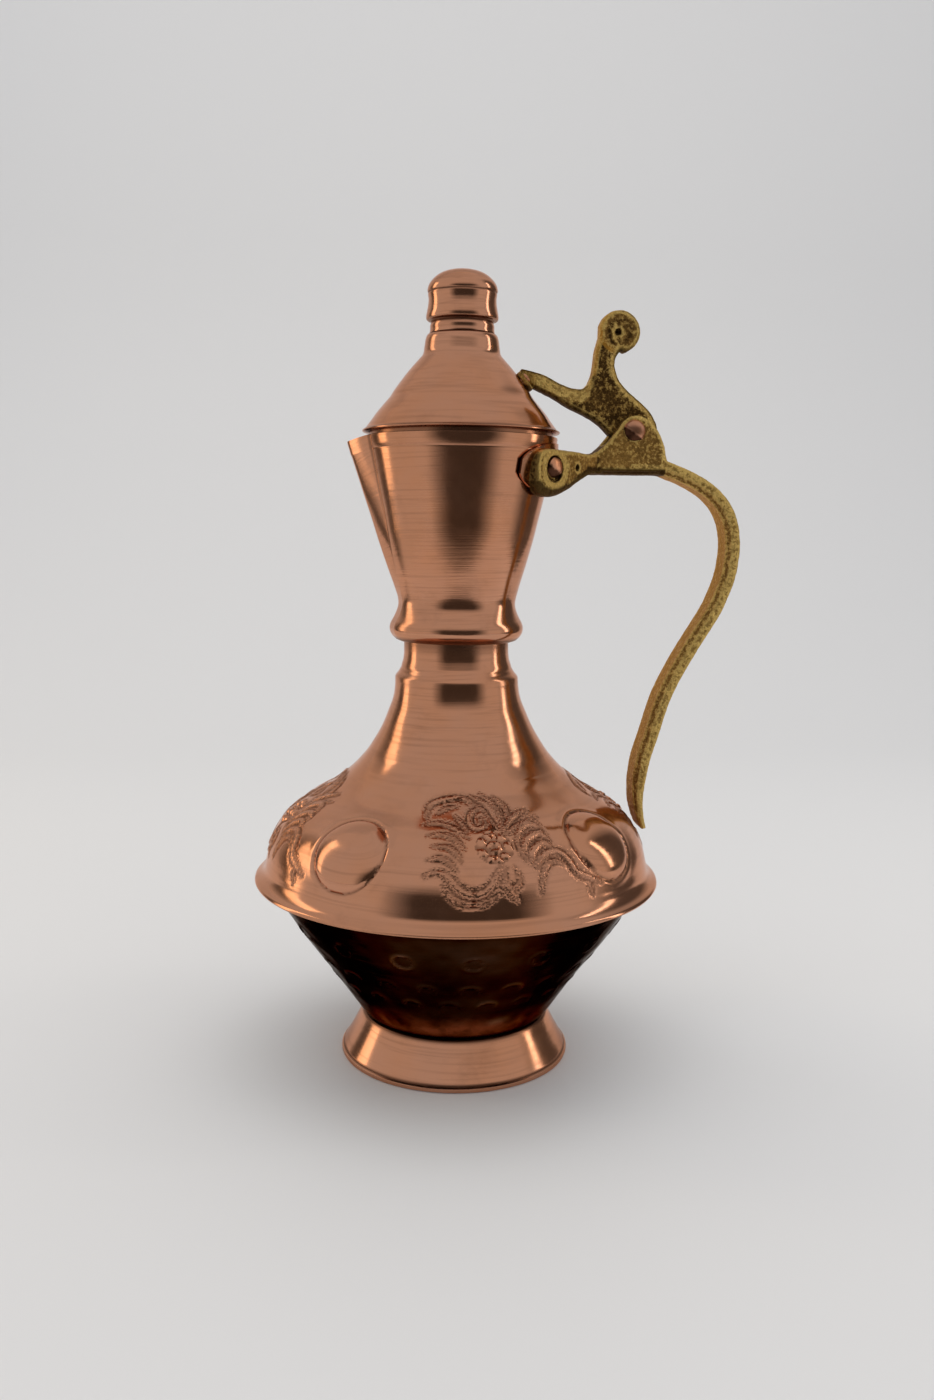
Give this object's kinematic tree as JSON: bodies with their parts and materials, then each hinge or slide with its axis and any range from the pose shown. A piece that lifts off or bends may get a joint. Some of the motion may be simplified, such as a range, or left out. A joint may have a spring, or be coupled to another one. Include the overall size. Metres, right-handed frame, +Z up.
{
  "type": "copper ewer",
  "caption": "Footed copper ewer with a waisted neck, pinched pouring lip, hinged conical lid with thumb lever, and a cast brass S-shaped handle.",
  "frame": {"origin": "on the ground, at the centre of the box around the whole ewer; the vessel's own axis stands 12.8 mm to the -X side of it", "axes": "+Z up along the vessel's axis, +X towards the handle, -X towards the pouring lip, Y along the lid's hinge"},
  "size_m": [0.1614, 0.1358, 0.26],
  "materials": {
    "copper": "polished",
    "brown_copper": "patinated and hammered",
    "cast_brass": "sand-cast, edges rubbed bright",
    "rivet_copper": "hammered"
  },
  "bodies": {
    "vessel": {"foot": "copper", "lower_bowl": "brown_copper", "shoulder": "copper", "cup": "copper", "saddle_plate": "copper", "handle": "cast_brass", "hinge_rivet": "rivet_copper", "pad_rivet_near": "rivet_copper", "pad_rivet_far": "rivet_copper", "pad_rove_near": "rivet_copper", "pad_rove_far": "rivet_copper"},
    "cover": {"lid": "copper", "finial": "copper", "lever": "cast_brass", "lid_rivet_near": "rivet_copper", "lid_rivet_far": "rivet_copper"}
  },
  "joints": [
    {"name": "lid_hinge", "type": "hinge", "parent": "vessel", "child": "cover", "pos_m": [0.04328, 0, 0.21], "axis": [0, 1, 0], "range_deg": [0, 100]}
  ]
}
